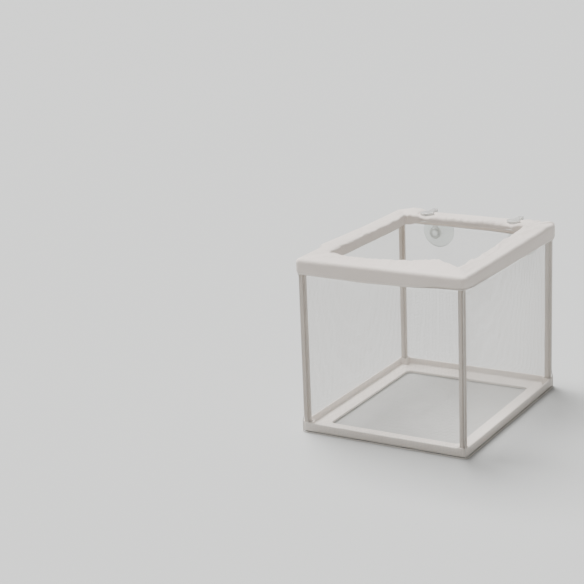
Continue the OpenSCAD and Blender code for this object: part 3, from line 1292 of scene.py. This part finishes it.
            a = math.pi * i / self.roll_rows
            rows.append(SectionRow(middle + edge.roll_r * math.cos(a),
                                   edge.roll_z - edge.roll_r * math.sin(a), 1, 1,
                                   self.tunnel_rise, 0))
        rows.append(SectionRow(middle - self.tuck_in * edge.roll_r,
                               edge.roll_z + self.tuck_up * edge.roll_r,
                               1, 1, self.tunnel_rise, 0))
        return rows

    def pressed(self, place: Vector) -> float:
        """1 where a hanger holds the cloth down on the rail, fading to 0 around it.

        Args:
            place: the place in plan.

        Returns:
            The hold, from 0 to 1.
        """
        hold = 0.0
        for spot in self.button_spots:
            near = (place.xy - spot.xy).length
            hold = max(hold, 1 - smooth((near - self.button_r) / self.button_fade))
            if place.y > spot.y:
                beside = abs(place.x - spot.x)
                hold = max(hold, 1 - smooth((beside - self.strap_half) / self.strap_fade))
        return hold

    def line(self, side: Side, share: float, edge: Edge) -> tuple[float, float]:
        """Shift and rise of one edge at a share of a side.

        Args:
            side: the side of the box.
            share: the share along it.
            edge: the edge that is asked for.

        Returns:
            The shift and the rise, in metres.
        """
        outline = self.shape.outline
        if edge is Edge.INNER:
            along = outline.flat(side, share, self.edge_inset, self.inner_radius,
                                 self.cross_extra)
        else:
            along = outline.flat(side, share, 0.0, self.shape.lip_radius)
        for line in self.lines:
            if line.side is side and line.edge is edge:
                return line.at(along)
        return 0.0, 0.0

    def creases(self, side: Side, share: float, place: Vector, inset: float,
                inner: float) -> float:
        """Height of the wrinkles on the top of the band.

        Args:
            side: the side of the box.
            share: the share along the side.
            place: the place in plan.
            inset: how far inside the outline.
            inner: 0 at the outer edge, 1 at the inner edge.

        Returns:
            How far the cloth stands off the rail there.
        """
        folds = self.wrinkles
        along = self.shape.outline.flat(side, share, 0.0, self.shape.lip_radius)
        fade = smooth((1 - abs(share)) / folds.corner_fade)
        layer = folds.side_step * side.value
        lengthwise = 1 - abs(noise.noise(Vector((
            along / folds.lengthwise_run, inset / folds.lengthwise_width, layer))))
        crosswise = 1 - abs(noise.noise(Vector((
            along / folds.crosswise_width, inset / folds.crosswise_run,
            layer + folds.crosswise_step))))
        soft = 0.5 + 0.5 * ripple(place.x, place.y, folds.soft_layer, folds.soft_length)
        fine = 0.5 + 0.5 * ripple(place.x, place.y, folds.fine_layer, folds.fine_length)
        sharp = (lengthwise ** folds.lengthwise_sharpness * folds.lengthwise_height
                 + crosswise ** folds.crosswise_sharpness * inner * folds.crosswise_height)
        bunched = math.exp(-((1 - abs(share)) / folds.bunched_share) ** 2) * abs(
            ripple(place.x, place.y, folds.bunched_layer, folds.bunched_length))
        spread = folds.outer_share + (1 - folds.outer_share) * smooth(inner * folds.inward_rate)
        return spread * (folds.soft_height * soft + folds.fine_height * fine
                         + folds.bunched_height * bunched + fade * sharp)

    def column(self, side: Side, share: float) -> list[Vector]:
        """All the points of the band's section at one place along a side.

        Args:
            side: the side of the box.
            share: the share along it.

        Returns:
            The points, from the seam to the tunnel.
        """
        outline, shape = self.shape.outline, self.shape
        in_shift, in_rise = self.line(side, share, Edge.INNER)
        out_shift, out_rise = self.line(side, share, Edge.OUTER)
        lift = shape.head(side, share) - shape.seam_z
        corner = math.exp(-((1 - abs(share)) / self.corner_share) ** 2)
        shoulder_z = self.top_z - self.shoulder_r
        points = []
        for row in self.section(self.inner_edge(side, share)):
            blend = smooth(row.inset / self.edge_inset)
            radius = shape.lip_radius + (self.inner_radius - shape.lip_radius) * blend
            extra = self.cross_extra * row.wide
            z = row.z
            if row.wide == 0 and z <= shoulder_z:
                z += lift * (shoulder_z - z) / (shoulder_z - shape.seam_z)
                radius = shape.radius(z)
            place, _ = outline.at(side, share, row.inset, radius, extra)
            held = 1 - self.pressed(place)
            gather = abs(ripple(place.x * self.gather_scale, place.y * self.gather_scale,
                                z / self.gather_rise, self.gather_length))
            pucker = held * row.shift * (
                self.pucker_straight + self.pucker_corner * corner) * self.pucker * gather
            moved = row.inset + held * (in_shift * row.shift + out_shift * row.outer) + pucker
            z += held * (in_rise * row.rise + out_rise * row.outer)
            stand = held * self.creases(side, share, place, row.inset, row.wide)
            if row.wide > 0 or row.z > shoulder_z:
                z += stand * (1 if row.shift < 1 else row.rise)
            else:
                moved -= stand * self.face_crease * smooth((z - shape.seam_z) / self.seam_fade)
            place, _ = outline.at(side, share, moved, max(radius, self.least_radius), extra)
            points.append(self.round_pin(Vector((place.x, place.y, z)), row))
        return points

    def round_pin(self, point: Vector, row: SectionRow) -> Vector:
        """Moves a point of the top aside, to leave a hole for a hanger's pin.

        Args:
            point: the point of the band.
            row: the section row that it is on.

        Returns:
            The point, moved where a pin needs room.
        """
        if not 0 < row.wide < 1:
            return point
        reach = self.hole_reach * self.hole_r
        for spot in self.button_spots:
            away = point.xy - spot.xy
            if away.length < reach:
                ring = self.hole_r + (reach - self.hole_r) * away.length / reach
                aside = away.normalized() * ring
                return Vector((spot.x + aside.x, spot.y + aside.y, point.z))
        return point

    def build(self, cloth: bpy.types.Material, thread: bpy.types.Material,
              elastic: bpy.types.Material) -> None:
        """Builds the band, its stitches and its elastic.

        Args:
            cloth: the band's finish.
            thread: the stitches' finish.
            elastic: the elastic's finish.
        """
        shares = self.shape.outline.shares(self.straight_cells, self.corner_cells)[:-1]
        stations = [(side, share) for side in Side for share in shares]
        columns = [self.column(side, share) for side, share in stations]
        rows = len(columns[0])
        self.grid = [[column[r] for column in columns] for r in range(rows)]
        lengths = path_lengths(columns[len(columns) // (2 * len(Side))])
        around = path_lengths(self.grid[self.face_rows + (self.shoulder_rows + 1) // 2])
        cuts = [(around[c], lengths[r]) for r in range(rows) for c in range(len(columns))]
        points = [point for row in self.grid for point in row]
        mesh = cloth_grid("hem_cloth", points, cuts, len(columns), closed=True)
        self.open_holes(mesh)
        piece = new_object("hem_cloth", mesh)
        piece.data.materials.append(cloth)
        wall = piece.modifiers.new("cloth", "SOLIDIFY")
        wall.thickness = self.cloth
        wall.offset = -1.0
        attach(piece, "box")
        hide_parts("hem_band")
        log.info("%s: %d faces", piece.name, len(mesh.polygons))
        self.stitch(thread)
        self.thread_elastic(stations, elastic)

    def open_holes(self, mesh: bpy.types.Mesh) -> None:
        """Takes out the faces that would cover the hangers' pins.

        Args:
            mesh: the band's mesh.
        """
        form = bmesh.new()
        form.from_mesh(mesh)
        reach = self.cover_share * self.hole_r
        covers = [face for face in form.faces for spot in self.button_spots
                  if face.calc_center_median().z > self.top_z - self.roof
                  and (face.calc_center_median().xy - spot.xy).length < reach]
        bmesh.ops.delete(form, geom=covers, context="FACES")
        form.to_mesh(mesh)
        form.free()
        log.info("hem_cloth: %d faces opened for the pins", len(covers))

    def stitch(self, material: bpy.types.Material) -> None:
        """Sews a row of lockstitches over the tunnel and one along the outer edge.

        Args:
            material: the thread's finish.
        """
        tree = StitchTree()
        tunnel_row = (self.face_rows + self.shoulder_rows + self.top_rows + self.edge_rows
                      + self.skirt_rows)
        for name, row in (("hem_stitches_tunnel", tunnel_row),
                          ("hem_stitches_edge", self.edge_stitch_row)):
            path = [point + self.outward(row, c) * self.stitch_lift
                    for c, point in enumerate(self.grid[row])]
            piece = tree.run(name, path_mesh(name, path, True), {
                "Thread": self.stitch_thread, "Length": self.stitch_length,
                "Spacing": self.stitch_spacing,
                "Material": material})
            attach(piece, "box")
            log.info("%s: %d faces", piece.name, len(piece.data.polygons))

    def outward(self, row: int, column: int) -> Vector:
        """Direction that faces away from the rail at a point of the band.

        Args:
            row: the section row.
            column: the place round the band.

        Returns:
            The direction.
        """
        here = self.grid[row][column]
        along = self.grid[row][(column + 1) % len(self.grid[row])] - here
        across = self.grid[row + 1][column] - here
        return along.cross(across).normalized()

    def thread_elastic(self, stations: list[tuple[Side, float]],
                       material: bpy.types.Material) -> None:
        """Runs the elastic through the tunnel at the band's inner edge.

        Args:
            stations: the side and the share of each place round the band.
            material: the elastic's finish.
        """
        curve = bpy.data.curves.new("hem_elastic_line", "CURVE")
        curve.dimensions = "3D"
        curve.bevel_depth = self.elastic_r
        curve.bevel_resolution = 2
        line = curve.splines.new("POLY")
        line.use_cyclic_u = True
        line.points.add(len(stations) - 1)
        for point, (side, share) in zip(line.points, stations):
            shift, rise = self.line(side, share, Edge.INNER)
            edge = self.inner_edge(side, share)
            place, _ = self.shape.outline.at(
                side, share, self.edge_inset - edge.roll_r + shift, self.inner_radius,
                self.cross_extra)
            point.co = (place.x, place.y, edge.roll_z + self.tunnel_rise * rise, 1.0)
        source = new_object("hem_elastic_line", curve)
        graph = bpy.context.evaluated_depsgraph_get()
        mesh = bpy.data.meshes.new_from_object(source.evaluated_get(graph))
        bpy.data.objects.remove(source)
        piece = new_object("hem_elastic_braided", mesh)
        mesh.materials.clear()
        mesh.materials.append(material)
        mesh.polygons.foreach_set("use_smooth", [True] * len(mesh.polygons))
        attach(piece, "box")
        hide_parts("hem_elastic")
        log.info("%s: %d faces", piece.name, len(mesh.polygons))


# ---------------------------------------------------------------------------------------
# The rigid pieces and the studio


@dataclass(frozen=True)
class RigidPieces:
    """The moulded pieces, which keep their shapes and get their finishes."""

    nodes: dict[str, bpy.types.Object]

    def dress(self) -> None:
        """Gives every moulded piece the finish of its kind."""
        finishes = {"bottom_frame": FRAME_PLASTIC, "top_frame": FRAME_PLASTIC,
                    "post": POST_PLASTIC, "hanger": HANGER_PLASTIC, "suction_cup": CUP_PVC}
        for start, finish in finishes.items():
            material = finish.make()
            for name, piece in self.nodes.items():
                if name.startswith(start):
                    piece.data.materials.clear()
                    piece.data.materials.append(material)
                    log.info("%s: %s", name, material.name)


@dataclass(frozen=True)
class Camera:
    """The camera, placed from the middle of the frame's plan."""

    x: float = 487.62 * MM
    y: float = -1016.93 * MM
    z: float = 419.7 * MM
    heading: float = 30.779
    pitch: float = 16.126
    roll: float = 2.325
    lens: float = 98.052
    sensor: float = 36.0

    def place(self, mid_y: float) -> None:
        """Makes the camera and aims it.

        Args:
            mid_y: middle of the frame's plan along Y.
        """
        turn, dip, roll = (math.radians(a) for a in (self.heading, self.pitch, self.roll))
        forward = Vector((-math.sin(turn) * math.cos(dip), math.cos(turn) * math.cos(dip),
                          -math.sin(dip)))
        level = forward.cross(Vector((0, 0, 1))).normalized()
        up = level.cross(forward)
        up = up * math.cos(roll) + level * math.sin(roll)
        right = forward.cross(up)
        data = bpy.data.cameras.new("camera")
        data.lens = self.lens
        data.sensor_width = self.sensor
        data.sensor_fit = "HORIZONTAL"
        camera = new_object("camera", data)
        turned = Matrix((right, up, -forward)).transposed().to_4x4()
        camera.matrix_world = Matrix.Translation((self.x, self.y + mid_y, self.z)) @ turned
        bpy.context.scene.camera = camera


@dataclass(frozen=True)
class SoftLight:
    """One broad soft light, far enough away to light the floor evenly."""

    name: str
    source: tuple[float, float, float]
    spread: float
    power: float

    def place(self, target: Vector) -> None:
        """Hangs the light and turns it to the box.

        Args:
            target: the point that it faces.
        """
        data = bpy.data.lights.new(self.name, "SUN")
        data.angle = math.radians(self.spread)
        data.energy = self.power
        lamp = new_object(self.name, data)
        lamp.location = self.source
        lamp.rotation_euler = (target - lamp.location).to_track_quat("-Z", "Y").to_euler()


@dataclass(frozen=True)
class Studio:
    """Plain pale floor, broad soft lights and an even surrounding."""

    floor_half: float = 15.0
    surround: float = 0.45
    surround_colour: str = "#F6F4F2"
    lights: tuple[SoftLight, ...] = (
        SoftLight("light_top", (-0.9, 0.4, 1.8), 38.0, 9.0),
        SoftLight("light_front", (0.9, -1.6, 0.6), 60.0, 0.25),
    )

    def build(self, target: Vector) -> None:
        """Builds the floor and the lights.

        Args:
            target: the point that the lights face.
        """
        half = self.floor_half
        corners = [(-half, -half, 0), (half, -half, 0), (half, half, 0), (-half, half, 0)]
        floor = new_object("studio_floor", new_mesh("studio_floor", corners, [], [(0, 1, 2, 3)]))
        floor.data.materials.append(FLOOR_PAINT.make())
        world = bpy.data.worlds.new("surround")
        bpy.context.scene.world = world
        world.use_nodes = True
        sky = world.node_tree.nodes["Background"]
        sky.inputs["Color"].default_value = srgb(self.surround_colour)
        sky.inputs["Strength"].default_value = self.surround
        for light in self.lights:
            light.place(target)


@dataclass(frozen=True)
class BagFit:
    """Sizes of the bag's fit on the mouldings that their boxes don't give."""

    foot_z: float = 0.45 * MM
    rim_lip: float = 6.4 * MM
    hem_top: float = 130 * MM
    cross_extra: float = 4.5 * MM
    button_play: float = 0.4 * MM
    aim_z: float = 60 * MM


def main() -> None:
    """Builds the studio, the moulded pieces, the net bag, its seams and the hem."""
    logging.basicConfig(level=logging.INFO, format="%(name)s %(message)s")
    fit = BagFit()
    low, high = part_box("bottom_frame")
    outline = Outline((high.x - low.x) / 2, (high.y - low.y) / 2, (low.y + high.y) / 2)
    target = Vector((0.0, outline.mid_y, fit.aim_z))
    Camera().place(outline.mid_y)
    Studio().build(target)
    RigidPieces(frame["nodes"]).dress()

    post_low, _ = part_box("post_front_left")
    _, rim_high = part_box("top_frame")
    head_low, head_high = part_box("seam_head")
    shape = BagShape(
        outline=outline,
        foot_z=fit.foot_z,
        base_lip_z=high.z,
        rim_lip_z=rim_high.z - fit.rim_lip,
        seam_z=(head_low.z + head_high.z) / 2,
        post_inset=post_low.x - low.x)
    NetBag(shape).build(NET_NYLON.make())
    thread = THREAD.make()
    BagSeams(shape).build(thread)

    spots = []
    for name in ("hanger_left", "hanger_right"):
        hook_low, hook_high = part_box(name)
        radius = (hook_high.x - hook_low.x) / 2
        spots.append(Vector(((hook_low.x + hook_high.x) / 2, hook_low.y + radius, 0.0)))
    hem = Hem(shape, top_z=fit.hem_top, cross_extra=fit.cross_extra, button_spots=spots,
              button_r=radius + fit.button_play)
    hem.build(HEM_CLOTH.make(), thread, ELASTIC.make())


if __name__ == "__main__":
    main()
